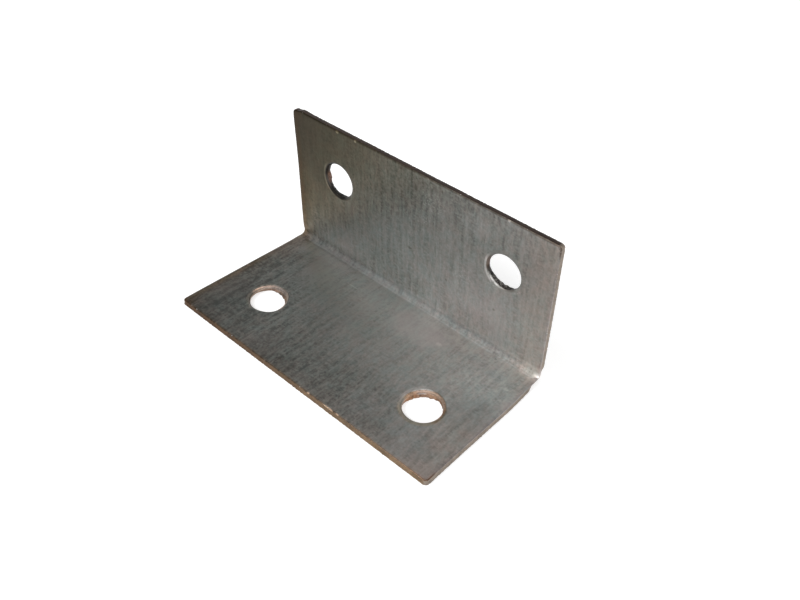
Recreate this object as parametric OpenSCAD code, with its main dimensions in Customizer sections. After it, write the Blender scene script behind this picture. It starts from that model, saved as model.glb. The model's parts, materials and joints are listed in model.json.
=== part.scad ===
// Angle bracket: one strip of sheet steel, sheared to size, punched with two
// screw holes in each flange and folded once at a right angle.
// X runs along the bend, the wall flange stands at the back (+Y) and Z is up.
// The origin is at the middle of the footprint, on the underside of the base.

/* [Flanges] */
// Length of the strip, measured along the bend
length = 60; // [50:0.5:120]
// Depth of the base flange, from its free edge to the back of the wall
base_depth = 30; // [24:0.1:60]
// Height of the wall flange, from the underside of the base to its free edge
wall_height = 29.3; // [24:0.1:60]
// Thickness of the sheet
sheet_t = 1; // [0.6:0.1:3]

/* [Bend and edges] */
// Radius on the inside of the bend
bend_r = 1.2; // [0.4:0.1:4]
// Radius of the four free corners, seen square to the flange
corner_r = 0.6; // [0.4:0.1:5]
// Width of the soft edge that the shear leaves on the inner face
edge_roll = 0.2; // [0.05:0.01:0.3]

/* [Holes] */
// Diameter of the punched screw holes
hole_d = 6.6; // [3:0.1:10]
// Width of the rounded rim that the punch leaves on the inner face
hole_roll = 0.4; // [0.1:0.05:0.5]
// Distance from each end of the strip to the middle of its holes
end_inset = 10.6; // [9:0.1:20]
// Distance from the base's free edge to the middle of its holes
base_inset = 10.8; // [6:0.1:20]
// Distance from the wall's free edge to the middle of its holes
wall_inset = 10.6; // [6:0.1:20]
// How far the base's pair of holes sits off the middle, towards +X
base_shift = 0.25; // [-2:0.05:2]
// How far the wall's pair of holes sits off the middle, towards +X
wall_shift = 0.95; // [-2:0.05:2]

/* [Hidden] */
$fn = 96;
// how far a cutter runs past the face that it opens
overrun = 0.01;
// angle at which a rolled rim crosses the faces, because sheared and punched
// sheet does not round smoothly into them
roll_lean = 15;
steel = [0.42, 0.41, 0.38];
bend_out_r = bend_r + sheet_t;
back_y = base_depth / 2;
hole_pitch = length - 2 * end_inset;

module bracket() {
    color(steel) {
        translate([0, -back_y, 0])
            flange(base_depth - bend_out_r, base_inset, base_shift);
        translate([0, back_y, wall_height])
            rotate([-90, 0, 0])
                mirror([0, 0, 1])
                    flange(wall_height - bend_out_r, wall_inset, wall_shift);
        translate([0, back_y - bend_out_r, bend_out_r])
            rotate([0, 90, 0])
                bend();
    }
}

// One flange lying flat, with the free edge on Y = 0, the bend line on
// Y = depth and the inner face on Z = sheet_t.
module flange(depth, inset, shift) {
    difference() {
        linear_extrude(sheet_t)
            flange_outline(depth);
        flange_edge_cut(depth);
        for (side = [-1, 1])
            translate([shift + side * hole_pitch / 2, inset, 0])
                hole_cut();
    }
}

module flange_outline(depth) {
    translate([-length / 2, corner_r])
        square([length, depth - corner_r]);
    translate([-length / 2 + corner_r, 0])
        square([length - 2 * corner_r, 2 * corner_r]);
    both_sides([1, 0])
        translate([length / 2 - corner_r, corner_r])
            circle(corner_r);
}

// Quarter ring that joins the flanges, lying along Z about its own axis.
module bend() {
    difference() {
        rotate_extrude(angle = 90)
            translate([bend_r, -length / 2])
                square([sheet_t, length]);
        both_sides([0, 0, 1])
            rotate_extrude(angle = 90)
                translate([bend_r, length / 2])
                    rotate(90)
                        roll_section(edge_roll);
    }
}

// The rolled edge along a flange's free edge, round its corners and down
// its two ends.
module flange_edge_cut(depth) {
    translate([length / 2 - corner_r, 0, sheet_t])
        rotate([90, 0, -90])
            linear_extrude(length - 2 * corner_r)
                roll_section(edge_roll);
    both_sides([1, 0, 0]) {
        translate([length / 2 - corner_r, corner_r, sheet_t])
            rotate([0, 0, -90])
                rotate_extrude(angle = 90)
                    translate([corner_r, 0])
                        roll_section(edge_roll);
        translate([length / 2, depth, sheet_t])
            rotate([90, 0, 0])
                linear_extrude(depth - corner_r)
                    roll_section(edge_roll);
    }
}

// A punched hole: a straight land with a rolled rim on the inner face.
module hole_cut() {
    translate([0, 0, -overrun])
        cylinder(d = hole_d, h = sheet_t + 2 * overrun);
    rotate_extrude()
        translate([hole_d / 2, sheet_t])
            mirror([1, 0])
                roll_section(hole_roll);
}

// Section of the metal missing at a rolled edge. The sharp corner would be
// at the origin, with the metal towards -X and -Y.
module roll_section(width) {
    r = width / (cos(roll_lean) - sin(roll_lean));
    difference() {
        translate([-width, -width])
            square(width + overrun);
        translate([-r * cos(roll_lean), -r * cos(roll_lean)])
            circle(r);
    }
}

// The children as given, and mirrored across the plane through the origin.
module both_sides(normal) {
    children();
    mirror(normal)
        children();
}

bracket();
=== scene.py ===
"""Angle bracket: the looks of a folded, punched strip of mill steel, round its fixed frame.

The strip is made as the real one is: blanked flat, punched, softened where the shear and
the punch pulled the skin down, roughened where the metal tore, and folded last. Each point
keeps its place on the flat blank, so the mill grain runs round the bend without a break.
"""

import json
import math
from collections import namedtuple

import bmesh
import bpy
from bpy.props import FloatProperty, FloatVectorProperty, PointerProperty
from bpy.types import Operator, Panel, PropertyGroup
from mathutils import Euler, Matrix, Vector, noise


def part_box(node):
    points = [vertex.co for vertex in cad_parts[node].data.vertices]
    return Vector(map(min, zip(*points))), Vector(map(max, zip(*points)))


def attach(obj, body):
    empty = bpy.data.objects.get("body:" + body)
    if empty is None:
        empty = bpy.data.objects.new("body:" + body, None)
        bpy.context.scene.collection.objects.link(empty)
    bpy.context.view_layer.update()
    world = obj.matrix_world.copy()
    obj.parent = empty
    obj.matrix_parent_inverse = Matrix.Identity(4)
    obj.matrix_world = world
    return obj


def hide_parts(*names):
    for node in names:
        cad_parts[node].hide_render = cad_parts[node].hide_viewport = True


bl_info = {
    "name": "Angle Bracket Looks",
    "version": (1, 0, 0),
    "blender": (4, 5, 0),
    "location": "3D View > Sidebar > Bracket",
    "description": "Folds, punches and finishes a steel angle bracket round its fixed frame",
    "category": "Object",
}

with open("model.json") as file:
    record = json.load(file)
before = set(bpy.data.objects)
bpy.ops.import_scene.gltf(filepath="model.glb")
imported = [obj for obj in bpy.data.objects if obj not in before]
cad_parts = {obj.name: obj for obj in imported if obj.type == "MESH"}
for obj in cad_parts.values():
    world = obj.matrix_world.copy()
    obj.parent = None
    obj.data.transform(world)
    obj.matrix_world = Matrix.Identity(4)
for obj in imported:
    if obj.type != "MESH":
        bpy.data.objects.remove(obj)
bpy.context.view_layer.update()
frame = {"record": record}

MM = 0.001
NODE = "bracket"
BODY = "root"
LOW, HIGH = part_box(NODE)
HALF_LENGTH = (HIGH.x - LOW.x) / 2
MOUNTS = {mount["name"]: mount for mount in frame["record"]["mounts"]}
SHEET_T = MOUNTS["base_inner_face"]["pos_m"][2] - LOW.z
HOLE_R = MOUNTS["base_holes"]["dims"]["hole_r_mm"] * MM
HOLE_PITCH = MOUNTS["base_holes"]["dims"]["spacing_x_mm"] * MM
FACE, EDGE, PUNCHED = range(3)
HOLE_RINGS = 5
WALL_ROWS = (0.08, 0.2, 0.32, 0.44, 0.56)
LAND_END = 0.5
BEND_ROWS = 14
CORNER_STEPS = 6
EDGE_STEPS = 4
RIM_STEPS = 5
SHARP_ANGLE = 40
BLOCK_MARGIN = 3 * MM
# The tables below are in millimetres and degrees on the flat blank: x from its middle, and
# along from its front edge.
# Burrs in a hole: flange, side, direction, half width and size.
BURRS = (
    ("base", 1, 133, 52, 0.62),
    ("base", 1, 50, 24, 0.2),
    ("base", -1, 58, 28, 0.55),
    ("base", -1, 105, 20, 0.3),
    ("base", -1, 85, 30, 0.2),
    ("base", -1, 190, 30, -0.2),
    ("wall", -1, 191, 14, 0.3),
    ("wall", -1, 235, 26, -0.18),
    ("wall", -1, 272, 14, 0.1),
    ("wall", -1, 300, 12, -0.1),
    ("wall", 1, 175, 35, -0.28),
    ("wall", 1, 258, 36, 0.34),
)
# Knocked places: middle (x, along), push (x, along) and reach.
KNOCKS = (
    (-30.0, 57.5, 0.12, -0.26, 1.0),
    (-28.7, 57.5, 0.0, -0.14, 0.6),
    (-27.2, 57.5, 0.0, 0.08, 0.8),
    (-30.0, 46.0, 0.14, 0.0, 8.0),
    (-30.0, 14.0, -0.1, 0.0, 7.0),
    (-30.0, 2.0, -0.2, 0.0, 8.0),
    (30.0, 12.0, 0.1, 0.0, 8.0),
    (30.0, 20.0, 0.2, 0.0, 5.0),
    (30.0, 44.0, 0.12, 0.0, 16.0),
    (20.3, 47.0, -0.3, 0.18, 5.0),
    (16.9, 8.5, -0.2, -0.12, 2.0),
    (-16.0, 9.4, 0.24, -0.12, 1.8),
)
BEND_LINE = 29.3
BEND_CREST = 29.5
# Arcs of painted light and shade round a hole, lighter where the rim and wall face the light
# and darker where they turn away: flange, side, direction, half width, start and end beyond the
# hole's wall, and tint.
RIM_LIGHT_AND_SHADE = (
    ("wall", 1, 190, 42, 0.42, 0.8, (1.75, 1.7, 1.75)),
    ("wall", 1, 172, 22, -0.2, 0.38, (0.75, 0.6, 0.55)),
    ("wall", 1, 203, 18, -0.3, 0.26, (0.3, 0.28, 0.27)),
    ("wall", 1, 245, 42, -0.3, 0.08, (0.5, 0.47, 0.46)),
    ("wall", 1, 292, 24, -0.3, 0.3, (0.55, 0.52, 0.5)),
    ("wall", -1, 190, 45, 0.42, 0.8, (1.9, 1.93, 2.15)),
    ("wall", -1, 175, 40, 0.0, 0.36, (0.62, 0.55, 0.52)),
    ("wall", -1, 160, 22, -0.4, 0.1, (1.6, 1.5, 1.35)),
    ("wall", -1, 205, 22, -0.4, 0.3, (1.8, 1.8, 1.8)),
    ("wall", -1, 256, 42, -0.2, 0.42, (0.2, 0.18, 0.17)),
    ("wall", -1, 255, 30, 0.3, 0.6, (0.5, 0.48, 0.46)),
    ("wall", -1, 295, 26, 0.05, 0.6, (0.5, 0.48, 0.46)),
    ("base", -1, 62, 45, -0.4, 0.5, (0.5, 0.55, 0.58)),
    ("base", -1, 100, 30, -0.4, 0.3, (0.76, 0.76, 0.78)),
    ("base", -1, 95, 28, 0.3, 0.7, (1.5, 1.45, 1.42)),
    ("base", -1, 190, 28, -0.4, 0.3, (1.2, 1.18, 1.12)),
    ("base", -1, 155, 30, 0.2, 0.85, (1.8, 1.68, 1.6)),
    ("base", -1, 222, 42, 0.1, 0.7, (1.55, 1.45, 1.37)),
    ("base", -1, 145, 50, -0.4, 0.45, (0.94, 0.98, 1.05)),
    ("base", 1, 62, 50, -0.4, 0.5, (0.64, 0.6, 0.55)),
    ("base", 1, 138, 22, -0.4, 0.5, (1.15, 1.13, 1.15)),
    ("base", 1, 172, 20, -0.4, 0.4, (1.08, 0.95, 0.82)),
    ("base", 1, 160, 32, 0.5, 1.1, (1.25, 1.2, 1.2)),
    ("base", 1, 212, 32, 0.0, 0.7, (1.3, 1.25, 1.2)),
    ("base", 1, 290, 70, 0.1, 0.9, (1.08, 1.0, 0.88)),
    ("base", 1, 5, 30, 0.1, 0.7, (0.74, 0.66, 0.57)),
)
# Bare rubbed arcs on the rims, painted bright as glints: flange, side, direction, half width,
# start and end beyond the hole's wall.
RUBBED_GLINT_ARCS = (
    ("wall", 1, 208, 13, 0.38, 0.52),
    ("wall", 1, 232, 22, 0.06, 0.32),
    ("base", 1, 132, 26, 0.3, 0.54),
)
# Soft patches of tarnish and of painted light and shade: middle (x, along), half sizes
# (x, along) and how much lighter or darker.
TARNISH_AND_SHADE = (
    (-28.5, 41.5, 4.0, 4.5, 1.2),
    (-22.0, 51.0, 5.0, 3.0, 1.11),
    (14.0, 53.5, 3.5, 2.5, 1.11),
    (-13.0, 34.5, 14.0, 6.0, 0.88),
    (-21.0, 36.5, 3.0, 2.5, 1.12),
    (14.0, 32.5, 8.0, 3.5, 0.9),
    (1.0, 23.5, 12.0, 4.0, 1.11),
    (-28.5, 26.5, 2.0, 2.5, 0.75),
    (-26.0, 22.0, 3.0, 2.0, 0.88),
    (-18.0, 22.0, 4.0, 2.5, 1.1),
    (-26.0, 14.0, 3.0, 3.0, 1.15),
    (-12.0, 12.0, 3.0, 7.0, 1.1),
    (-17.0, 3.0, 6.0, 6.0, 1.25),
    (-29.0, 8.0, 4.0, 5.0, 1.15),
    (-24.0, 5.0, 4.0, 4.0, 1.13),
    (-24.0, 27.0, 3.0, 2.0, 1.1),
    (-28.0, 33.0, 2.0, 3.0, 0.88),
    (13.0, 27.0, 15.0, 1.5, 1.12),
    (10.0, 5.0, 10.0, 7.0, 0.87),
    (12.0, 4.5, 3.5, 3.0, 1.1),
    (18.0, 2.0, 4.0, 2.0, 0.88),
    (-4.0, 2.0, 2.5, 2.0, 0.86),
    (2.0, 33.0, 2.5, 2.5, 0.9),
    (27.0, 14.0, 5.0, 5.0, 0.86),
)
# Small specks and nicks, laid out as the patches are. The six on the front and top rims are
# bright nicks, painted lighter as glints.
MARKS = (
    (19.0, 38.3, 0.3, 0.3, 0.7),
    (24.0, 35.0, 0.35, 0.3, 0.78),
    (8.3, 38.7, 0.3, 0.25, 0.75),
    (-0.6, 41.2, 0.6, 0.3, 0.72),
    (21.7, 27.4, 0.25, 0.25, 0.7),
    (-22.2, 13.4, 0.2, 0.5, 0.75),
    (-10.2, 24.0, 1.2, 0.16, 1.3),
    (-25.2, 15.7, 0.25, 0.3, 1.35),
    (12.0, 23.4, 0.6, 0.4, 1.2),
    (27.3, 23.0, 0.5, 0.4, 1.2),
    (3.8, 0.1, 0.3, 0.2, 3.0),
    (8.5, 0.1, 1.1, 0.18, 3.0),
    (10.7, 0.1, 0.35, 0.18, 2.6),
    (-18.2, 57.3, 0.4, 0.3, 3.0),
    (-13.7, 57.3, 0.3, 0.3, 3.0),
    (20.1, 57.45, 0.3, 0.25, 2.6),
)
# Scuffed places: middle (x, along) and half sizes.
SCUFFS = (
    (4.6, 53.0, 3.0, 2.2),
    (3.0, 49.0, 1.2, 1.2),
    (12.0, 41.6, 1.8, 1.8),
    (18.3, 43.2, 1.6, 1.0),
    (23.2, 44.6, 1.0, 0.7),
    (21.3, 21.0, 1.2, 1.2),
)
# Patches that lean to pink, or with a minus sign to blue-green.
BLUSHES = (
    (-17.0, 20.0, 6.0, 5.0, -0.45),
    (-29.0, 25.0, 3.0, 6.0, 0.5),
    (12.0, 25.5, 5.0, 2.5, 0.5),
    (26.0, 20.0, 5.0, 6.0, -0.35),
    (-20.0, 42.0, 8.0, 6.0, 0.25),
)
# The skin's two casts, blue-green and pinkish.
HUES = ((0.97, 1.02, 1.0, 1.0), (1.08, 0.99, 0.95, 1.0))
SKIN = 0.02 * MM
FLOOR_HALF = 3.0
FLOOR_GAP = 0.06 * MM
# The heights in degrees between which the sky dims.
SKY_TURN = (20, 42)
# Compass angle, height, strength and breadth.
LAMPS = (
    ("front_lamp", 240, 42, 1.5, 30),
    ("back_lamp", 135, 65, 0.2, 30),
    ("near_lamp", 317, 41, 0.9, 20),
)

LENS = 35.09
LENS_SHIFT = -0.09375
CAMERA_PLACE = (0.074855, -0.0686, 0.098711)
CAMERA_TURN = (48.802, -3.864, 39.316)
VALUE = "NodeSocketFloat"
VECTOR = "NodeSocketVector"
COLOUR = "NodeSocketColor"

Strip = namedtuple("Strip", "bend_r outer_r mid_r base_flat arc wall_flat length")
Hole = namedtuple("Hole", "x along flange side")


# ---------------------------------------------------------------- settings


def length_setting(**details):
    return FloatProperty(unit="LENGTH", **details)


def colour_setting(**details):
    return FloatVectorProperty(subtype="COLOR", size=3, **details)


class BracketShape(PropertyGroup):
    bend_radius: length_setting(
        name="Bend radius",
        description="Radius on the inside of the bend",
        default=1.2 * MM,
    )
    corner_radius: length_setting(
        name="Corner radius",
        description="Radius of the four free corners",
        default=0.6 * MM,
    )
    edge_roll: length_setting(
        name="Edge roll",
        description="Width of the soft edge that the shear leaves on the inner face",
        default=0.2 * MM,
    )
    hole_roll: length_setting(
        name="Hole roll",
        description="Width of the rounded rim that the punch leaves on the inner face",
        default=0.4 * MM,
    )
    cell: length_setting(
        name="Cell",
        description="Size of the mesh's squares on the flat of the sheet",
        default=0.5 * MM,
    )
    wave: length_setting(
        name="Wave",
        description="How far the sheet strays from flat",
        default=0.02 * MM,
    )
    tear: length_setting(
        name="Tear",
        description="Depth of the rough break on the sheared and punched walls",
        default=0.06 * MM,
    )
    flare: length_setting(
        name="Flare",
        description="How far a punched wall leans out below its smooth land",
        default=0.1 * MM,
    )
    lean: length_setting(
        name="Lean",
        description="How far the torn part of the shear leans out on the base, in at the top",
        default=0.12 * MM,
    )
    dish: length_setting(
        name="Dish",
        description="How far the punch drew the inner face down round each hole",
        default=0.05 * MM,
    )
    swell: length_setting(
        name="Swell",
        description="How far the inside of the bend was squeezed out past each end",
        default=0.14 * MM,
    )
    draw_in: length_setting(
        name="Draw in",
        description="How far the outside of the bend was pulled in at each end",
        default=0.55 * MM,
    )
    crown: length_setting(
        name="Crown",
        description="How far the inside of the bend falls away at each end",
        default=0.3 * MM,
    )


class BracketFinish(PropertyGroup):
    steel: colour_setting(
        name="Steel",
        description="Colour of the clean rolled steel",
        default=(0.262, 0.26, 0.243),
    )
    oxide: colour_setting(
        name="Oxide",
        description="Colour of the dull skin in the grain and the dark streaks",
        default=(0.124, 0.124, 0.115),
    )
    scorch: colour_setting(
        name="Scorch",
        description="Tint of the warm brown tarnish at the wall flange's left",
        default=(1.0, 0.84, 0.56),
    )
    rose_stain: colour_setting(
        name="Rose stain",
        description="Colour of the faint rust bloom",
        default=(0.27, 0.235, 0.218),
    )
    # Also the colour of the painted glints on the rims and in the base's right hole.
    bright_steel: colour_setting(
        name="Bright steel",
        description="Colour of steel rubbed bare, at scuffs and on rolled rims",
        default=(0.55, 0.54, 0.52),
    )
    # Partly rust and partly a painted reflection of a brown surface.
    sheared: colour_setting(
        name="Sheared edge",
        description="Colour of the rusty cut along the base's front",
        default=(0.207, 0.14, 0.083),
    )
    # Painted shade: the front cut's darker left end.
    sheared_left_shade: colour_setting(
        name="Sheared edge's left",
        description="Colour of the darker left end of the cut along the base's front",
        default=(0.078, 0.039, 0.016),
    )
    # Painted shade: the wall's top cut, darkened past its own dark brown.
    shaded_top_cut: colour_setting(
        name="Top cut",
        description="Colour of the dark cut along the wall flange's top",
        default=(0.05, 0.034, 0.027),
    )
    # Torn bore and land: their copper-brown is partly the cut's own colour and partly a painted
    # reflection of a brown surface.
    torn: colour_setting(
        name="Torn bore",
        description="Colour of the torn lower part of a punched wall in the base",
        default=(0.3, 0.187, 0.122),
    )
    land: colour_setting(
        name="Land",
        description="Colour of the smooth upper part of a punched wall in the base",
        default=(0.4, 0.3, 0.235),
    )
    brown_cut: colour_setting(
        name="Brown cut",
        description="Colour of the rusty part of a punched wall in the wall flange",
        default=(0.11, 0.07, 0.055),
    )
    side_cut: colour_setting(
        name="Side cut",
        description="Colour of the cut along the strip's two sides",
        default=(0.265, 0.222, 0.182),
    )
    # Painted shade: the wall flange's punched walls, turned away from the light.
    shaded_hole_wall: colour_setting(
        name="Sooty wall",
        description="Colour of the darkened cut at the wall flange's end and in its holes",
        default=(0.03, 0.025, 0.021),
    )
    roughness: FloatProperty(
        name="Roughness",
        description="Roughness of the rolled face",
        default=0.45,
        min=0,
        max=1,
    )
    grain_depth: length_setting(
        name="Grain depth",
        description="Depth of the rolling grain",
        default=0.004 * MM,
    )


class BracketStage(PropertyGroup):
    floor_colour: colour_setting(
        name="Floor",
        description="Colour of the floor",
        default=(0.72, 0.72, 0.72),
    )
    floor_lift: FloatProperty(
        name="Floor lift",
        description="White added to the floor as the camera, metal and glass see it",
        default=0.52,
    )
    horizon: FloatProperty(
        name="Horizon",
        description="Strength of the white light from low down all round",
        default=1.0,
    )
    zenith: FloatProperty(
        name="Zenith",
        description="Strength of the light from overhead",
        default=0.3,
    )


# ---------------------------------------------------------------- the strip


def strip_of(shape):
    """The lengths of the flat blank. Its bend is measured along the middle of the sheet."""
    outer_r = shape.bend_radius + SHEET_T
    mid_r = shape.bend_radius + SHEET_T / 2
    base_flat = HIGH.y - LOW.y - outer_r
    wall_flat = HIGH.z - LOW.z - outer_r
    arc = mid_r * math.pi / 2
    return Strip(shape.bend_radius, outer_r, mid_r, base_flat, arc, wall_flat,
                 base_flat + arc + wall_flat)


def holes_of(strip):
    """The four holes' places on the flat blank."""
    base = MOUNTS["base_holes"]["pos_m"]
    wall = MOUNTS["wall_holes"]["pos_m"]
    wall_along = strip.base_flat + strip.arc + wall[2] - LOW.z - strip.outer_r
    holes = []
    for side in (-1, 1):
        holes.append(Hole(base[0] + side * HOLE_PITCH / 2, base[1] - LOW.y, "base", side))
        holes.append(Hole(wall[0] + side * HOLE_PITCH / 2, wall_along, "wall", side))
    return holes


def folded(flat, strip):
    """Where a point of the flat blank lies once the wall flange is folded up."""
    x, along, height = flat
    past = along - strip.base_flat
    if past <= 0:
        return Vector((x, LOW.y + along, LOW.z + height))
    if past >= strip.arc:
        return Vector((x, HIGH.y - height, LOW.z + strip.outer_r + past - strip.arc))
    angle = past / strip.mid_r
    reach = strip.outer_r - height
    axis_y = HIGH.y - strip.outer_r
    axis_z = LOW.z + strip.outer_r
    return Vector((x, axis_y + reach * math.sin(angle), axis_z - reach * math.cos(angle)))


def add_panel(bm, start, depth, columns, rows):
    """One stretch of the blank as a grid, from start to start + depth along the strip."""
    middle = Matrix.Translation((0, start + depth / 2, 0))
    size = Matrix.Diagonal((2 * HALF_LENGTH, depth, 1, 1))
    bmesh.ops.create_grid(
        bm, x_segments=columns, y_segments=rows, size=0.5, matrix=middle @ size
    )


def widen_border(bm, strip, shape):
    """Moves the outermost grid lines in, so that a corner's radius fits its one square."""
    border = shape.corner_radius * 1.25
    for vert in bm.verts:
        inner = HALF_LENGTH - shape.cell * 1.5
        if inner < abs(vert.co.x) < HALF_LENGTH - shape.cell / 2:
            vert.co.x = math.copysign(HALF_LENGTH - border, vert.co.x)
        if shape.cell / 2 < vert.co.y < shape.cell * 1.5:
            vert.co.y = border
        if shape.cell / 2 < strip.length - vert.co.y < shape.cell * 1.5:
            vert.co.y = strip.length - border


def punch(bm, hole):
    """Takes a square out of the grid and draws its edges in, ring by ring, to the hole."""
    half_block = HOLE_R + BLOCK_MARGIN
    centre = Vector((hole.x, hole.along, 0))
    block = []
    for face in bm.faces:
        away = face.calc_center_median() - centre
        if max(abs(away.x), abs(away.y)) < half_block:
            block.append(face)
    inside = set(block)
    rim = {e for f in block for e in f.edges if any(g not in inside for g in e.link_faces)}
    rim = sorted(rim, key=lambda edge: edge.index)
    bmesh.ops.delete(bm, geom=block, context="FACES")
    for left in range(HOLE_RINGS, 0, -1):
        drawn = bmesh.ops.extrude_edge_only(bm, edges=rim)["geom"]
        verts = {item for item in drawn if isinstance(item, bmesh.types.BMVert)}
        rim = [e for e in drawn if isinstance(e, bmesh.types.BMEdge) and verts.issuperset(e.verts)]
        for vert in verts:
            away = vert.co - centre
            vert.co = vert.co.lerp(centre + away.normalized() * HOLE_R, 1 / left)


def flat_blank(strip, holes, shape):
    """The blank's outer face, lying flat on height 0, with its holes open."""
    bm = bmesh.new()
    columns = round(2 * HALF_LENGTH / shape.cell)
    add_panel(bm, 0, strip.base_flat, columns, round(strip.base_flat / shape.cell))
    add_panel(bm, strip.base_flat, strip.arc, columns, BEND_ROWS)
    add_panel(bm, strip.base_flat + strip.arc, strip.wall_flat, columns,
              round(strip.wall_flat / shape.cell))
    bmesh.ops.remove_doubles(bm, verts=bm.verts, dist=0.01 * MM)
    widen_border(bm, strip, shape)
    outline = []
    for edge in bm.edges:
        is_by_corner = any(len(vert.link_edges) == 2 for vert in edge.verts)
        if edge.is_boundary and not is_by_corner:
            outline.append(edge)
    bmesh.ops.subdivide_edges(bm, edges=outline, cuts=1)
    for hole in holes:
        punch(bm, hole)
    return bm


def edge_distance(place, strip, shape):
    """How far a place of the blank lies inside the sheared outline."""
    past_x = abs(place.x) - HALF_LENGTH + shape.corner_radius
    past_y = abs(place.y - strip.length / 2) - strip.length / 2 + shape.corner_radius
    if max(past_x, past_y) <= 0:
        return shape.corner_radius - max(past_x, past_y)
    return shape.corner_radius - math.hypot(max(past_x, 0), max(past_y, 0))


def outward(place, strip, shape):
    """The level direction out of the strip at a place on its outline."""
    past_x = max(abs(place.x) - HALF_LENGTH + shape.corner_radius, 0)
    off = place.y - strip.length / 2
    past_y = max(abs(off) - strip.length / 2 + shape.corner_radius, 0)
    return Vector((math.copysign(past_x, place.x), math.copysign(past_y, off), 0)).normalized()


def nearest_hole(place, holes):
    """The nearest hole and how far its wall is from the place."""
    gaps = [(math.hypot(place.x - h.x, place.y - h.along) - HOLE_R, h) for h in holes]
    return min(gaps, key=lambda item: item[0])


def cut_edges(bm, is_wanted):
    """The edges between the inner face and the cut walls, of the wanted places."""
    found = []
    for edge in bm.edges:
        if min(v.co.z for v in edge.verts) < SHEET_T * 0.99 or not is_wanted(edge.verts[0].co):
            continue
        if any(abs(face.normal.z) < 0.5 for face in edge.link_faces):
            found.append(edge)
    return found


def round_over(bm, edges, radius, steps):
    bmesh.ops.bevel(bm, geom=edges, offset=radius, segments=steps, affect="EDGES",
                    profile=0.5, material=-1)


def thicken(bm, strip, holes, shape):
    """Gives the blank its thickness, rounds its corners and rolls its inner rims."""
    up = bmesh.ops.extrude_face_region(bm, geom=list(bm.faces))
    top = [v for v in up["geom"] if isinstance(v, bmesh.types.BMVert)]
    bmesh.ops.translate(bm, verts=top, vec=(0, 0, SHEET_T))
    bmesh.ops.recalc_face_normals(bm, faces=bm.faces)
    corners = []
    for edge in bm.edges:
        place = edge.verts[0].co
        is_upright = abs(place.z - edge.verts[1].co.z) > SHEET_T / 2
        if is_upright and HALF_LENGTH - abs(place.x) < SKIN:
            if min(place.y, strip.length - place.y) < SKIN:
                corners.append(edge)
    round_over(bm, corners, shape.corner_radius, CORNER_STEPS)
    sheared = cut_edges(bm, lambda place: edge_distance(place, strip, shape) < SKIN)
    round_over(bm, sheared, shape.edge_roll, EDGE_STEPS)
    punched = cut_edges(bm, lambda place: nearest_hole(place, holes)[0] < SKIN)
    round_over(bm, punched, shape.hole_roll, RIM_STEPS)
    for share in WALL_ROWS:
        everything = [*bm.verts, *bm.edges, *bm.faces]
        bmesh.ops.bisect_plane(bm, geom=everything, plane_co=(0, 0, share * SHEET_T),
                               plane_no=(0, 0, 1))


def mark_finishes(bm, holes, shape):
    """Tells the sheared and the punched walls from the faces of the sheet."""
    for face in bm.faces:
        is_under = face.normal.z < -0.5
        if not is_under and nearest_hole(face.calc_center_median(), holes)[0] < shape.hole_roll:
            face.material_index = PUNCHED
        elif abs(face.normal.z) > 0.5:
            face.material_index = FACE
        else:
            face.material_index = EDGE


def wobble(place, lump, seed):
    """Smooth noise from about -1 to 1, with lumps of the given length."""
    return noise.noise(place / lump + Vector((seed, seed, seed)))


def burr_at(place, hole):
    """How far the burrs left by the punch stand into the hole in a place's direction. Where
    the metal broke away instead, it is less than zero."""
    round_angle = math.degrees(math.atan2(place.y - hole.along, place.x - hole.x))
    reach = 0
    for flange, side, angle, spread, size in BURRS:
        if (flange, side) == (hole.flange, hole.side):
            off = (round_angle - angle + 180) % 360 - 180
            reach += size * MM * math.exp(-(off / spread) ** 4)
    return reach


def lean_side(place, strip):
    """How the torn metal leans, as a share: out of the strip on the base, in at the top."""
    if place.y < strip.base_flat:
        return -1
    if strip.length - place.y < SHEET_T:
        return 0.4
    return 0


def tear_walls(bm, strip, holes, shape):
    """Roughens each cut wall below its smooth land, and leaves burrs in the holes."""
    for vert in bm.verts:
        share = vert.co.z / SHEET_T
        gap, hole = nearest_hole(vert.co, holes)
        is_punched = gap < SKIN
        if is_punched:
            inwards = Vector((vert.co.x - hole.x, vert.co.y - hole.along, 0)).normalized()
        elif edge_distance(vert.co, strip, shape) < SKIN:
            inwards = -outward(vert.co, strip, shape)
        else:
            continue
        land_end = LAND_END + 0.12 * wobble(vert.co, 1.4 * MM, 3)
        torn = min(max((land_end - share) / land_end, 0), 1)
        depth = shape.tear * torn * 1.4 * wobble(vert.co, 0.4 * MM, 7)
        if is_punched:
            ragged = 1 + 0.5 * wobble(vert.co, 0.5 * MM, 11)
            depth -= burr_at(vert.co, hole) * ragged * min(torn * 1.6, 1)
            depth += shape.flare * torn
        else:
            level = Vector((vert.co.x, vert.co.y, 0))
            depth += shape.wave * 1.5 * wobble(level, 5 * MM, 5)
            depth += shape.lean * torn * lean_side(vert.co, strip)
        vert.co += inwards * depth


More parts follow.
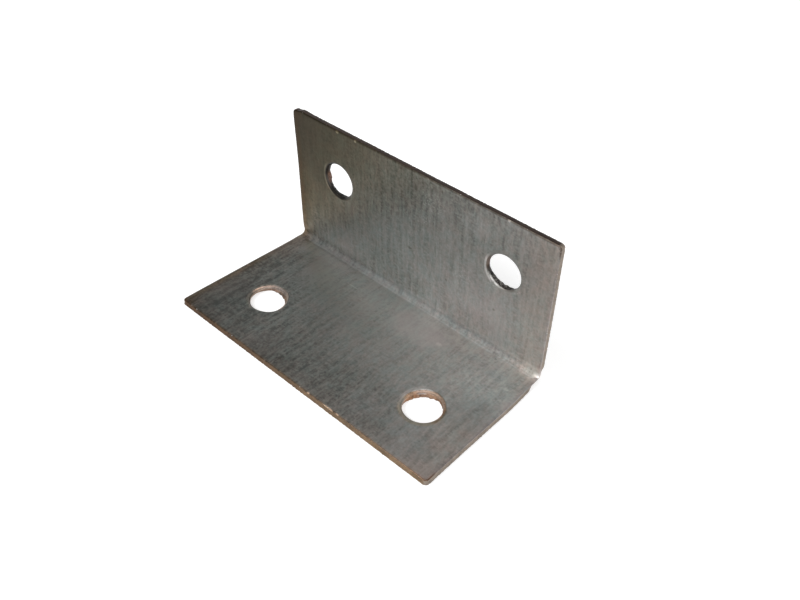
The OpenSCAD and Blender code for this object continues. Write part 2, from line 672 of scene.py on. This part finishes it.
def work_metal(bm, strip, holes, shape):
    """Dishes the holes, swells the bend's ends and takes the sheet a little out of flat."""
    for vert in bm.verts:
        share = vert.co.z / SHEET_T
        gap = nearest_hole(vert.co, holes)[0]
        level = Vector((vert.co.x, vert.co.y, 0))
        vert.co.z += shape.wave * wobble(level, 14 * MM, 1)
        vert.co.z -= shape.dish * share * math.exp(-max(gap, 0) / (0.9 * MM))
        off_bend = (vert.co.y - strip.base_flat - strip.arc * 0.3) / (strip.arc * 0.75)
        from_end = max(HALF_LENGTH - abs(vert.co.x), 0) / SHEET_T
        in_bend = math.exp(-off_bend ** 4)
        squeeze = shape.swell * share - shape.draw_in * (1 - share)
        vert.co.x += math.copysign(1, vert.co.x) * squeeze * in_bend * math.exp(-from_end)
        off_crest = (vert.co.y / MM - BEND_CREST) / 1.1
        crowned = math.exp(-off_crest ** 2) * max(1.2 - from_end, 0) ** 2
        vert.co.z -= shape.crown * share * crowned
        for x, along, push_x, push_along, reach in KNOCKS:
            away = (level - Vector((x, along, 0)) * MM).length / (reach * MM)
            vert.co += Vector((push_x, push_along, 0)) * MM * math.exp(-away ** 2)


def add_object(name, data):
    made = bpy.data.objects.new(name, data)
    bpy.context.scene.collection.objects.link(made)
    return made


def mesh_object(name, bm, materials):
    mesh = bpy.data.meshes.new(name)
    bm.to_mesh(mesh)
    bm.free()
    for material in materials:
        mesh.materials.append(material)
    return add_object(name, mesh)


def smooth_piece(name, bm, materials):
    """An object with smooth faces that keeps its sharp edges sharp."""
    piece = mesh_object(name, bm, materials)
    piece.data.shade_smooth()
    piece.data.set_sharp_from_angle(angle=math.radians(SHARP_ANGLE))
    weigh = piece.modifiers.new("face_normals", "WEIGHTED_NORMAL")
    weigh.keep_sharp = True
    return piece


def note_places(bm, strip, holes, shape):
    """Keeps each point's place on the blank, how far it lies from a cut, and the nearest
    hole's direction from its middle, with the distance to the hole's wall as its Z."""
    place = bm.verts.layers.float_vector.new("blank_place")
    rim = bm.verts.layers.float.new("rim_distance")
    way = bm.verts.layers.float_vector.new("hole_way")
    for vert in bm.verts:
        gap, hole = nearest_hole(vert.co, holes)
        out = Vector((vert.co.x - hole.x, vert.co.y - hole.along, 0)).normalized()
        vert[place] = vert.co / MM
        vert[way] = out + Vector((0, 0, gap / MM))
        vert[rim] = min(gap, edge_distance(vert.co, strip, shape)) / MM


def fold(bm, strip):
    for vert in bm.verts:
        vert.co = folded(vert.co, strip)


# ---------------------------------------------------------------- node helpers


def feed(tree, target, source):
    """Links a socket to a node's input, or sets a plain value on it."""
    if isinstance(source, bpy.types.NodeSocket):
        tree.links.new(source, target)
    else:
        target.default_value = source


def node(tree, kind, feeds=None, **settings):
    made = tree.nodes.new("ShaderNode" + kind)
    for name, value in settings.items():
        setattr(made, name, value)
    for name, source in (feeds or {}).items():
        feed(tree, made.inputs[name], source)
    return made


def calc(tree, operation, first, second=0.0, third=0.0):
    made = node(tree, "Math", operation=operation)
    for target, source in zip(made.inputs, (first, second, third)):
        feed(tree, target, source)
    return made.outputs["Value"]


def times(tree, first, second):
    return calc(tree, "MULTIPLY", first, second)


def linear(tree, value, factor, added):
    return calc(tree, "MULTIPLY_ADD", value, factor, added)


def combine(tree, x, y, z):
    return node(tree, "CombineXYZ", {"X": x, "Y": y, "Z": z}).outputs["Vector"]


def stretch(tree, vector, factors):
    made = node(tree, "VectorMath", {0: vector, 1: factors}, operation="MULTIPLY")
    return made.outputs["Vector"]


def separate(tree, vector):
    return node(tree, "SeparateXYZ", {"Vector": vector}).outputs


def patch(tree, place, spot, ragged=None):
    """A soft round area of the blank, from its middle and half sizes in millimetres."""
    x, along, half_x, half_along = spot
    off = node(tree, "VectorMath", {0: place, 1: (x, along, 0)}, operation="SUBTRACT")
    off = stretch(tree, off.outputs["Vector"], (1 / half_x, 1 / half_along, 0))
    reach = node(tree, "VectorMath", {0: off}, operation="LENGTH").outputs["Value"]
    if ragged is not None:
        reach = linear(tree, ragged, -1.6, calc(tree, "ADD", reach, 0.8))
    return band(tree, reach, 1.3, 0.5)


def speckle(tree, vector, scale, detail=2.0, roughness=0.5):
    feeds = {"Vector": vector, "Scale": scale, "Detail": detail, "Roughness": roughness}
    return node(tree, "TexNoise", feeds).outputs["Fac"]


def band(tree, value, start, end, low=0.0, high=1.0):
    """Turns a value that runs from start to end into a smooth one from low to high."""
    feeds = {"Value": value, "From Min": start, "From Max": end, "To Min": low, "To Max": high}
    return node(tree, "MapRange", feeds, interpolation_type="SMOOTHSTEP").outputs["Result"]


def blend(tree, share, first, second, mode="MIX"):
    """Mixes two colours; share 0 keeps the first."""
    made = node(tree, "Mix", data_type="RGBA", blend_type=mode, clamp_factor=True)
    feed(tree, made.inputs["Factor"], share)
    feed(tree, made.inputs[6], first)
    feed(tree, made.inputs[7], second)
    return made.outputs[2]


def attribute(tree, name, output="Fac"):
    return node(tree, "Attribute", attribute_name=name).outputs[output]


def opaque(colour):
    return (*colour, 1.0)


def new_group(name, inputs, outputs):
    """An empty node group. The inputs are (name, kind, default) and the outputs (name, kind)."""
    tree = bpy.data.node_groups.new(name, "ShaderNodeTree")
    for label, kind, default in inputs:
        socket = tree.interface.new_socket(label, in_out="INPUT", socket_type=kind)
        if default is not None:
            socket.default_value = default
    for label, kind in outputs:
        tree.interface.new_socket(label, in_out="OUTPUT", socket_type=kind)
    return tree, tree.nodes.new("NodeGroupInput").outputs, tree.nodes.new("NodeGroupOutput").inputs


def use_group(tree, group, feeds):
    made = tree.nodes.new("ShaderNodeGroup")
    made.node_tree = group
    for name, source in feeds.items():
        feed(tree, made.inputs[name], source)
    return made.outputs


# ---------------------------------------------------------------- shared effects


def two_sided(tree, place):
    """The place on the blank, with its two faces set far apart, so their marks differ."""
    parts = separate(tree, place)
    side = band(tree, parts["Z"], 0.3, 0.5, 0.0, 40.0)
    return combine(tree, parts["X"], parts["Y"], side)


def grain_group():
    """The rolling grain along the strip: fine fibres, ladders of short dark dashes in
    columns, broader streaks, and a grit that runs no way at all."""
    tree, given, out = new_group(
        "rolling_grain",
        [("Place", VECTOR, None), ("Width", VALUE, 0.58)],
        [("Fibres", VALUE), ("Dashes", VALUE),
         ("Streaks", VALUE), ("Grit", VALUE)],
    )
    place = two_sided(tree, given["Place"])
    fineness = calc(tree, "DIVIDE", 1.0, given["Width"])
    fibres = speckle(tree, stretch(tree, place, (1, 0.42, 1)), fineness, 2.0, 0.55)
    columns = speckle(tree, stretch(tree, place, (1, 0.08, 1)), 1.3, 1.0, 0.5)
    steps = speckle(tree, stretch(tree, place, (0.4, 1, 1)), 1.7, 2.0, 0.6)
    dashes = times(tree, band(tree, columns, 0.56, 0.4), band(tree, steps, 0.38, 0.6))
    feed(tree, out["Fibres"], fibres)
    feed(tree, out["Dashes"], dashes)
    feed(tree, out["Streaks"], speckle(tree, stretch(tree, place, (1, 0.1, 1)), 0.9, 3.0, 0.55))
    feed(tree, out["Grit"], speckle(tree, place, 2.3, 2.0, 0.6))
    return tree


def bloom_group():
    """Soft patches of tarnish, a few millimetres across, and their finer mottle."""
    tree, given, out = new_group(
        "tarnish_bloom",
        [("Place", VECTOR, None), ("Size", VALUE, 9.0)],
        [("Patches", VALUE), ("Mottle", VALUE),
         ("Hue", VALUE)],
    )
    place = two_sided(tree, given["Place"])
    scale = calc(tree, "DIVIDE", 1.0, given["Size"])
    patches = speckle(tree, stretch(tree, place, (1, 0.6, 1)), scale, 3.0, 0.5)
    mottle = speckle(tree, stretch(tree, place, (1, 0.5, 1)), 1.1, 3.0, 0.6)
    feed(tree, out["Patches"], patches)
    feed(tree, out["Mottle"], mottle)
    hue = speckle(tree, stretch(tree, place, (1, 0.7, 1)), 0.55, 4.0, 0.75)
    feed(tree, out["Hue"], band(tree, hue, 0.3, 0.7))
    return tree


def wear_group():
    """Where the skin is rubbed off: flecks in the scuffed places, and nicks along the rims."""
    tree, given, out = new_group(
        "handling_wear",
        [("Place", VECTOR, None), ("Rim Distance", VALUE, 1.0)],
        [("Scuffs", VALUE), ("Nicks", VALUE)],
    )
    place = two_sided(tree, given["Place"])
    scuffed = 0.0
    for spot in SCUFFS:
        scuffed = calc(tree, "MAXIMUM", scuffed, patch(tree, given["Place"], spot))
    flecks = band(tree, speckle(tree, place, 2.6, 3.0, 0.65), 0.5, 0.66)
    feed(tree, out["Scuffs"], times(tree, flecks, scuffed))
    chips = band(tree, speckle(tree, place, 1.6, 3.0, 0.6), 0.62, 0.7)
    near = band(tree, given["Rim Distance"], 0.35, 0.1)
    feed(tree, out["Nicks"], times(tree, chips, near))
    return tree


def cut_group():
    """The colours of a cut, from the colours it is given: a smooth land above, torn metal below,
    both mottled. Those given for the wall flange's cuts are darker, as painted shade."""
    tree, given, out = new_group(
        "cut_metal",
        [("Place", VECTOR, None), ("Land", COLOUR, None),
         ("Torn", COLOUR, None), ("Height", VALUE, 0.5)],
        [("Colour", COLOUR), ("Tear", VALUE),
         ("Pits", VALUE)],
    )
    place = given["Place"]
    height = separate(tree, place)["Z"]
    ragged = speckle(tree, stretch(tree, place, (1, 1, 0)), 1.1, 3.0, 0.6)
    edge = linear(tree, ragged, 0.5, calc(tree, "SUBTRACT", height, 0.25))
    is_torn = band(tree, calc(tree, "SUBTRACT", edge, given["Height"]), 0.06, -0.04)
    grit = speckle(tree, stretch(tree, place, (1, 1, 1.5)), 2.8, 4.0, 0.65)
    clouds = speckle(tree, place, 0.5, 2.0, 0.5)
    shade = linear(tree, clouds, 0.6, times(tree, grit, 1.2))
    shade = band(tree, shade, 0.55, 1.25, 0.55, 1.5)
    colour = blend(tree, is_torn, given["Land"], given["Torn"])
    shade = combine(tree, shade, shade, shade)
    feed(tree, out["Colour"], blend(tree, 1.0, colour, shade, "MULTIPLY"))
    feed(tree, out["Tear"], grit)
    feed(tree, out["Pits"], band(tree, speckle(tree, place, 3.2, 1.0, 0.5), 0.48, 0.6))
    return tree


def tone_group():
    """How the tarnish and the painted light and shade lie. It fans out over both flanges from the
    bend's left end. It is darkest and warmest on the wall flange, where the darkening is painted
    shade and the warm cast is tarnish, and it fades to paler steel to the right as painted light.
    Along the bend it is painted lighter, with painted highlights on its crest and at its right
    end. The inside of the bend is dull."""
    tree, given, out = new_group(
        "tarnish_tone",
        [("Place", VECTOR, None)],
        [("Tone", VALUE), ("Warmth", VALUE),
         ("Bend", VALUE)],
    )
    place = separate(tree, given["Place"])
    both = two_sided(tree, given["Place"])
    haze = calc(tree, "SUBTRACT", speckle(tree, both, 0.14, 2.0, 0.5), 0.5)
    from_left = linear(tree, haze, 8.0, calc(tree, "ADD", place["X"], 30.0))
    past_bend = calc(tree, "SUBTRACT", place["Y"], BEND_LINE)
    depth = calc(tree, "ABSOLUTE", past_bend)
    on_wall = band(tree, past_bend, -1.0, 1.0)
    spread = calc(tree, "DIVIDE", calc(tree, "SUBTRACT", from_left, depth),
                  calc(tree, "ADD", depth, 3.0))
    # Painted shade on the wall flange's left, and painted light towards the paler right.
    scorched = band(tree, on_wall, 0.0, 1.0, 0.6, 0.2)
    pale = band(tree, on_wall, 0.0, 1.0, 1.4, 1.2)
    tone = band(tree, spread, -1.0, 0.9, scorched, pale)
    # Painted light: lighter towards the right.
    tone = times(tree, tone, band(tree, place["X"], -10.0, 30.0, 1.0, 1.2))
    # Darker towards the wall's top and the base's front.
    tone = times(tree, tone, band(tree, depth, 8.0, 25.0, 1.05, 0.82))
    # Painted light along the bend, shaded at its left end, with a painted highlight at its right.
    level = band(tree, place["X"], -26.0, 2.0, 0.77, 1.18)
    level = calc(tree, "ADD", level, band(tree, place["X"], 23.0, 29.5, 0.0, 0.4))
    tone = times(tree, tone, band(tree, depth, 2.3, 1.0, 1.0, level))
    # Painted highlight along the bend's crest.
    off_crest = calc(tree, "ABSOLUTE", calc(tree, "SUBTRACT", place["Y"], BEND_CREST))
    tone = times(tree, tone, band(tree, off_crest, 1.0, 0.1, 1.0, 1.15))
    # Patches of tarnish and of painted light and shade, and small marks with painted glints.
    for *spot, shade in (*TARNISH_AND_SHADE, *MARKS):
        share = patch(tree, given["Place"], spot)
        tone = times(tree, tone, linear(tree, share, shade - 1, 1.0))
    feed(tree, out["Tone"], tone)
    warmth = times(tree, band(tree, spread, 0.6, -0.8), on_wall)
    feed(tree, out["Warmth"], warmth)
    bend = times(tree, band(tree, depth, 1.6, 0.6), band(tree, place["X"], 29.6, 28.6))
    feed(tree, out["Bend"], times(tree, bend, band(tree, place["Z"], 0.3, 0.6)))
    return tree


# ---------------------------------------------------------------- materials


def new_material(name):
    material = bpy.data.materials.new(name)
    material.use_nodes = True
    return material, material.node_tree, material.node_tree.nodes["Principled BSDF"].inputs


def bump(tree, shader, height, depth):
    feeds = {"Height": height, "Distance": depth, "Strength": 1.0}
    feed(tree, shader["Normal"], node(tree, "Bump", feeds).outputs["Normal"])


def edge_stains_and_shade(tree, colour, place, rim):
    """Tints the skin along the sheared outline: brown at the front and the left, darker at the
    front and the top as painted shade on the rolled rim, and a little paler at the right as
    painted light."""
    parts = separate(tree, place)
    at_front = band(tree, parts["Y"], 3.0, 1.0)
    at_top = band(tree, parts["Y"], 54.5, 56.5)
    at_left = band(tree, parts["X"], -27.0, -28.5)
    at_right = band(tree, parts["X"], 27.0, 28.5)
    rusty = times(tree, band(tree, parts["X"], -24.0, -26.0),
                  patch(tree, place, (-29.0, 39.0, 9.0, 11.0)))
    clean = patch(tree, place, (-29.0, 24.0, 9.0, 5.0))
    at_left = times(tree, at_left, linear(tree, clean, -0.7, 1.0))
    stains = (
        # The front's first row and the top row darken the rolled rim as painted shade; the right
        # row is painted light.
        (at_front, 0.3, 0.08, (0.5, 0.4, 0.31)),
        (at_front, 0.65, 0.2, (1.03, 0.93, 0.86)),
        (at_top, 0.45, 0.05, (0.36, 0.32, 0.28)),
        (at_left, 2.0, 0.6, (1.07, 0.89, 0.73)),
        (rusty, 4.0, 2.0, (1.0, 0.98, 0.92)),
        (at_right, 0.9, 0.1, (1.05, 1.02, 1.04)),
    )
    for side, start, end, tint in stains:
        share = times(tree, side, band(tree, rim, start, end))
        colour = blend(tree, share, colour, opaque(tint), "MULTIPLY")
    return colour


def round_hole(tree, place, flange, side, angle, spread, start, end):
    """1 over an arc round one hole: its hole, its middle direction and half width in degrees,
    and how far from the hole's wall it starts and ends, in millimetres."""
    way = attribute(tree, "hole_way", "Vector")
    turn = math.radians(angle)
    toward = (math.cos(turn), math.sin(turn), 0)
    facing = node(tree, "VectorMath", {0: way, 1: toward}, operation="DOT_PRODUCT")
    wide, narrow = (math.cos(math.radians(spread * share)) for share in (1.35, 0.65))
    share = band(tree, facing.outputs["Value"], wide, narrow)
    gap = separate(tree, way)["Z"]
    share = times(tree, share, band(tree, gap, start - 0.06, start + 0.06))
    share = times(tree, share, band(tree, gap, end + 0.12, end - 0.12))
    parts = separate(tree, place)
    on_side = band(tree, parts["X"], -side, side)
    other, own = (32.0, 28.0) if flange == "base" else (28.0, 32.0)
    on_flange = band(tree, parts["Y"], other, own)
    return times(tree, share, times(tree, on_side, on_flange))


def painted_rim_light(tree, colour, place):
    """Lightens and darkens the rims and hole walls in arcs: painted light where they face the
    light, painted shade where they turn away.
    """
    for *arc, tint in RIM_LIGHT_AND_SHADE:
        colour = blend(tree, round_hole(tree, place, *arc), colour, opaque(tint), "MULTIPLY")
    return colour


def rubbed_glinting_rims(tree, place):
    """Bright frayed arcs on the rims, where the punch's edge rubbed them bare, painted bright as
    glints.
    """
    arcs = 0.0
    for arc in RUBBED_GLINT_ARCS:
        arcs = calc(tree, "MAXIMUM", arcs, round_hole(tree, place, *arc))
    frayed = speckle(tree, place, 3.6, 2.0, 0.6)
    arcs = times(tree, arcs, band(tree, separate(tree, place)["Z"], 0.55, 0.65))
    return times(tree, arcs, band(tree, frayed, 0.38, 0.52, 0.15, 1.0))


def steel_finish(finish, groups):
    """The rolled faces: grey steel with dull grain, faint stains, scuffs and bare rims, with
    painted light and shade from the tone map, along the sheared rims and round the holes, and
    painted glints.
    """
    material, tree, shader = new_material("rolled_steel")
    place = attribute(tree, "blank_place", "Vector")
    rim = attribute(tree, "rim_distance")
    grain = use_group(tree, groups["grain"], {"Place": place})
    bloom = use_group(tree, groups["bloom"], {"Place": place})
    wear = use_group(tree, groups["wear"], {"Place": place, "Rim Distance": rim})
    tarnish = use_group(tree, groups["tone"], {"Place": place})

    tone = tarnish["Tone"]
    parts = separate(tree, place)
    dull = linear(tree, grain["Fibres"], 1.0, -1.22)
    dull = linear(tree, grain["Grit"], 0.8, dull)
    dull = linear(tree, grain["Streaks"], 0.75, dull)
    dull = linear(tree, grain["Dashes"], 0.3, dull)
    contrast = band(tree, tone, 0.5, 1.5, 2.1, 0.66)
    contrast = times(tree, contrast, linear(tree, tarnish["Warmth"], -0.6, 1.0))
    at_left = times(tree, band(tree, parts["Y"], 30.0, 33.0), band(tree, parts["X"], 0.0, -14.0))
    contrast = times(tree, contrast, linear(tree, at_left, -0.3, 1.0))
    dull = linear(tree, dull, contrast, 0.35)
    colour = blend(tree, dull, opaque(finish.steel), opaque(finish.oxide))
    pinkish = calc(tree, "ADD", bloom["Hue"], band(tree, parts["X"], -8.0, 20.0, -0.12, 0.1))
    pinkish = calc(tree, "ADD", pinkish, band(tree, parts["Y"], 4.0, 1.0, 0.0, 0.4))
    for *spot, share in BLUSHES:
        pinkish = linear(tree, patch(tree, place, spot), share, pinkish)
    colour = blend(tree, 1.0, colour, blend(tree, pinkish, HUES[0], HUES[1]), "MULTIPLY")
    stain = band(tree, bloom["Patches"], 0.5, 0.72, 0.0, 0.35)
    rose = patch(tree, place, (7.0, 24.0, 7.0, 3.5), bloom["Mottle"])
    stain = linear(tree, rose, 0.45, stain)
    colour = blend(tree, stain, colour, opaque(finish.rose_stain))
    colour = blend(tree, tarnish["Warmth"], colour, opaque(finish.scorch), "MULTIPLY")
    outer = calc(tree, "MAXIMUM", band(tree, parts["Y"], 26.5, 29.5),
                 band(tree, parts["Y"], 16.0, 9.0))
    outer = times(tree, outer, band(tree, parts["X"], 21.0, 28.5))
    warm = calc(tree, "MAXIMUM", band(tree, parts["X"], -24.0, -29.0), outer)
    # The tone map's painted light and shade, and its tarnish, multiply the colour here.
    red = times(tree, tone, linear(tree, warm, 0.07, 0.97))
    blue = linear(tree, warm, -0.04, band(tree, tone, 0.7, 1.5, 1.01, 1.065))
    cast = combine(tree, red, tone, times(tree, tone, blue))
    colour = blend(tree, 1.0, colour, cast, "MULTIPLY")
    # Brown stains, with painted shade and light along the sheared rims.
    colour = edge_stains_and_shade(tree, colour, place, rim)
    # Painted light and shade in arcs round the holes.
    colour = painted_rim_light(tree, colour, place)
    bare = linear(tree, wear["Scuffs"], 0.45, wear["Nicks"])
    # Bare steel: scuffs and nicks, and rubbed arcs painted bright as glints.
    bare = calc(tree, "MAXIMUM", bare, rubbed_glinting_rims(tree, place))
    colour = blend(tree, times(tree, bare, 0.7), colour, opaque(finish.bright_steel))
    feed(tree, shader["Base Color"], colour)
    shader["Metallic"].default_value = 1.0

    rough = linear(tree, dull, 0.16, finish.roughness - 0.08)
    rough = linear(tree, bare, -0.15, rough)
    feed(tree, shader["Roughness"], linear(tree, tarnish["Bend"], 0.5, rough))
    height = linear(tree, grain["Grit"], 0.7, grain["Fibres"])
    bump(tree, shader, height, finish.grain_depth)
    return material


def sheared_finish(finish, groups):
    """The sheared outline: copper-brown along the base's front, partly rust and partly a painted
    reflection of a brown surface, and darker to the left as painted shade; near black along the
    wall's top as painted shade; and nearly the faces' own grey at the strip's two sides."""
    material, tree, shader = new_material("sheared_edge")
    place = attribute(tree, "blank_place", "Vector")
    parts = separate(tree, place)
    at_side = band(tree, calc(tree, "ABSOLUTE", parts["X"]), 29.2, 29.7)
    at_top = band(tree, parts["Y"], 54.5, 56.2)
    # Painted light and shade: the front cut darkens towards the left.
    from_left = band(tree, parts["X"], -30.0, 25.0)
    rust = blend(tree, from_left, opaque(finish.sheared_left_shade), opaque(finish.sheared))
    # Painted shade: the wall's top cut is near black.
    rust = blend(tree, at_top, rust, opaque(finish.shaded_top_cut))
    rust = blend(tree, at_side, rust, opaque(finish.side_cut))
    cut = use_group(tree, groups["cut"], {"Place": place, "Land": rust, "Torn": rust})
    feed(tree, shader["Base Color"], cut["Colour"])
    shader["Metallic"].default_value = 0.9
    feed(tree, shader["Roughness"], band(tree, cut["Tear"], 0.3, 0.7, 0.4, 0.65))
    bump(tree, shader, cut["Tear"], 0.03 * MM)
    return material


def punched_finish(finish, groups):
    """The holes' walls: tan over copper-brown in the base, partly a painted reflection of a brown
    surface, and near black as painted shade, with brown at the upper left, in the wall flange,
    with painted glints on pits and on one scuff. The rims there, and the base's near ones, are
    steel, under painted light and shade."""
    material, tree, shader = new_material("punched_wall")
    place = attribute(tree, "blank_place", "Vector")
    parts = separate(tree, place)
    tarnish = use_group(tree, groups["tone"], {"Place": place})
    in_wall = band(tree, parts["Y"], 28.0, 32.0)
    brown = calc(tree, "MAXIMUM", patch(tree, place, (-21.8, 46.3, 1.0, 1.3)),
                 patch(tree, place, (17.1, 48.0, 1.2, 2.2)))
    # Painted shade: the wall flange's hole walls are near black, with brown patches.
    dark = blend(tree, brown, opaque(finish.shaded_hole_wall), opaque(finish.brown_cut))
    land = blend(tree, in_wall, opaque(finish.land), dark)
    torn = blend(tree, in_wall, opaque(finish.torn), dark)
    cut = use_group(tree, groups["cut"], {"Place": place, "Land": land, "Torn": torn})
    # Painted glints: pit specks lightened to steel in the wall flange's right hole.
    pit_glints = times(tree, cut["Pits"], patch(tree, place, (18.5, 44.5, 4.0, 4.0)))
    colour = blend(tree, pit_glints, cut["Colour"], opaque(finish.steel))
    tone = combine(tree, tarnish["Tone"], tarnish["Tone"], tarnish["Tone"])
    # Painted glint on the land of the base's right hole.
    scuffed = times(tree, band(tree, parts["Z"], 0.34, 0.42),
                    band(tree, parts["Z"], 0.54, 0.46))
    scuffed = times(tree, scuffed, patch(tree, place, (17.4, 12.9, 0.9, 0.8)))
    colour = blend(tree, times(tree, scuffed, 0.6), colour, opaque(finish.bright_steel))
    # The rims take the tone map's painted light and shade.
    rim = blend(tree, 0.3, opaque(finish.steel), opaque(finish.oxide))
    rim = blend(tree, 1.0, rim, tone, "MULTIPLY")
    way = separate(tree, attribute(tree, "hole_way", "Vector"))
    steel_side = calc(tree, "MAXIMUM", in_wall, band(tree, way["Y"], 0.1, -0.4))
    rolled = times(tree, steel_side, band(tree, parts["Z"], 0.66, 0.84))
    # Painted light and shade in arcs round the holes.
    colour = painted_rim_light(tree, blend(tree, rolled, colour, rim), place)
    # Rubbed arcs, painted bright as glints.
    bare = rubbed_glinting_rims(tree, place)
    feed(tree, shader["Base Color"], blend(tree, bare, colour, opaque(finish.bright_steel)))
    metal = linear(tree, rolled, 0.4, 0.6)
    metal = times(tree, metal, linear(tree, bare, -0.6, 1.0))
    feed(tree, shader["Metallic"], metal)
    feed(tree, shader["Roughness"], band(tree, cut["Tear"], 0.3, 0.7, 0.35, 0.7))
    bump(tree, shader, cut["Tear"], 0.04 * MM)
    return material


def finishes(finish):
    """The three materials, in the order of the faces' slots."""
    groups = {
        "grain": grain_group(),
        "bloom": bloom_group(),
        "wear": wear_group(),
        "tone": tone_group(),
        "cut": cut_group(),
    }
    return [make(finish, groups) for make in (steel_finish, sheared_finish, punched_finish)]


# ---------------------------------------------------------------- operators


class BRACKET_OT_fold_strip(Operator):
    """Blank, punch, roll and fold the steel strip"""

    bl_idname = "bracket.fold_strip"
    bl_label = "Fold the Strip"

    def execute(self, context):
        shape = context.scene.bracket_shape
        strip = strip_of(shape)
        holes = holes_of(strip)
        bm = flat_blank(strip, holes, shape)
        thicken(bm, strip, holes, shape)
        note_places(bm, strip, holes, shape)
        mark_finishes(bm, holes, shape)
        tear_walls(bm, strip, holes, shape)
        work_metal(bm, strip, holes, shape)
        fold(bm, strip)
        piece = smooth_piece("folded_bracket", bm, finishes(context.scene.bracket_finish))
        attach(piece, BODY)
        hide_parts(NODE)
        return {"FINISHED"}


class BRACKET_OT_set_stage(Operator):
    """Lay the floor, hang the lamps and place the camera"""

    bl_idname = "bracket.set_stage"
    bl_label = "Set the Stage"

    def execute(self, context):
        scene = context.scene
        add_floor(scene.bracket_stage)
        add_sky(scene, scene.bracket_stage)
        add_lamps()
        add_camera(scene)
        scene.view_settings.view_transform = "Standard"
        return {"FINISHED"}


def add_floor(stage):
    bm = bmesh.new()
    bmesh.ops.create_grid(bm, x_segments=1, y_segments=1, size=FLOOR_HALF)
    bmesh.ops.translate(bm, verts=bm.verts, vec=(0, 0, LOW.z - FLOOR_GAP))
    mesh_object("floor", bm, [floor_finish(stage)])


def floor_finish(stage):
    """A pale matt floor that keeps its shadows, lifted to white where it is seen."""
    material, tree, shader = new_material("pale_floor")
    feed(tree, shader["Base Color"], opaque(stage.floor_colour))
    shader["Roughness"].default_value = 1.0
    shader["Specular IOR Level"].default_value = 0.0
    shader["Emission Color"].default_value = (1, 1, 1, 1)
    ray = node(tree, "LightPath").outputs
    in_metal = times(tree, ray["Is Glossy Ray"], 0.87)
    seen = calc(tree, "MAXIMUM", ray["Is Camera Ray"], in_metal)
    seen = calc(tree, "MAXIMUM", seen, ray["Is Transmission Ray"])
    feed(tree, shader["Emission Strength"], times(tree, seen, stage.floor_lift))
    return material


def add_sky(scene, stage):
    """Even light all round: white low down, dimmer overhead."""
    world = bpy.data.worlds.new("sky")
    world.use_nodes = True
    tree = world.node_tree
    direction = node(tree, "TexCoord").outputs["Generated"]
    upward = separate(tree, direction)["Z"]
    low, high = (math.sin(math.radians(angle)) for angle in SKY_TURN)
    strength = band(tree, upward, low, high, stage.horizon, stage.zenith)
    tree.nodes["Background"].inputs["Color"].default_value = (1, 1, 1, 1)
    feed(tree, tree.nodes["Background"].inputs["Strength"], strength)
    scene.world = world


def add_lamps():
    """Distant lamps, each given by its compass angle, height, strength and breadth."""
    for name, round_angle, height, strength, breadth in LAMPS:
        lamp = bpy.data.lights.new(name, "SUN")
        lamp.energy = strength
        lamp.angle = math.radians(breadth)
        tilt = Euler((0, math.radians(90 - height), math.radians(round_angle)))
        add_object(name, lamp).rotation_euler = tilt


def add_camera(scene):
    data = bpy.data.cameras.new("camera")
    data.lens = LENS
    data.shift_x = LENS_SHIFT
    data.clip_start = 10 * MM
    camera = add_object("camera", data)
    camera.location = CAMERA_PLACE
    camera.rotation_euler = Euler([math.radians(angle) for angle in CAMERA_TURN])
    scene.camera = camera


class BRACKET_PT_looks(Panel):
    bl_label = "Angle Bracket"
    bl_idname = "BRACKET_PT_looks"
    bl_space_type = "VIEW_3D"
    bl_region_type = "UI"
    bl_category = "Bracket"

    def draw(self, context):
        scene = context.scene
        for settings in (scene.bracket_shape, scene.bracket_finish, scene.bracket_stage):
            box = self.layout.box()
            for name in settings.__annotations__:
                box.prop(settings, name)
        self.layout.operator(BRACKET_OT_fold_strip.bl_idname)
        self.layout.operator(BRACKET_OT_set_stage.bl_idname)


CLASSES = (
    BracketShape,
    BracketFinish,
    BracketStage,
    BRACKET_OT_fold_strip,
    BRACKET_OT_set_stage,
    BRACKET_PT_looks,
)


def register():
    for cls in CLASSES:
        bpy.utils.register_class(cls)
    bpy.types.Scene.bracket_shape = PointerProperty(type=BracketShape)
    bpy.types.Scene.bracket_finish = PointerProperty(type=BracketFinish)
    bpy.types.Scene.bracket_stage = PointerProperty(type=BracketStage)


def unregister():
    del bpy.types.Scene.bracket_shape
    del bpy.types.Scene.bracket_finish
    del bpy.types.Scene.bracket_stage
    for cls in reversed(CLASSES):
        bpy.utils.unregister_class(cls)


def main():
    register()
    bpy.ops.bracket.fold_strip()
    bpy.ops.bracket.set_stage()


if __name__ == "__main__":
    main()
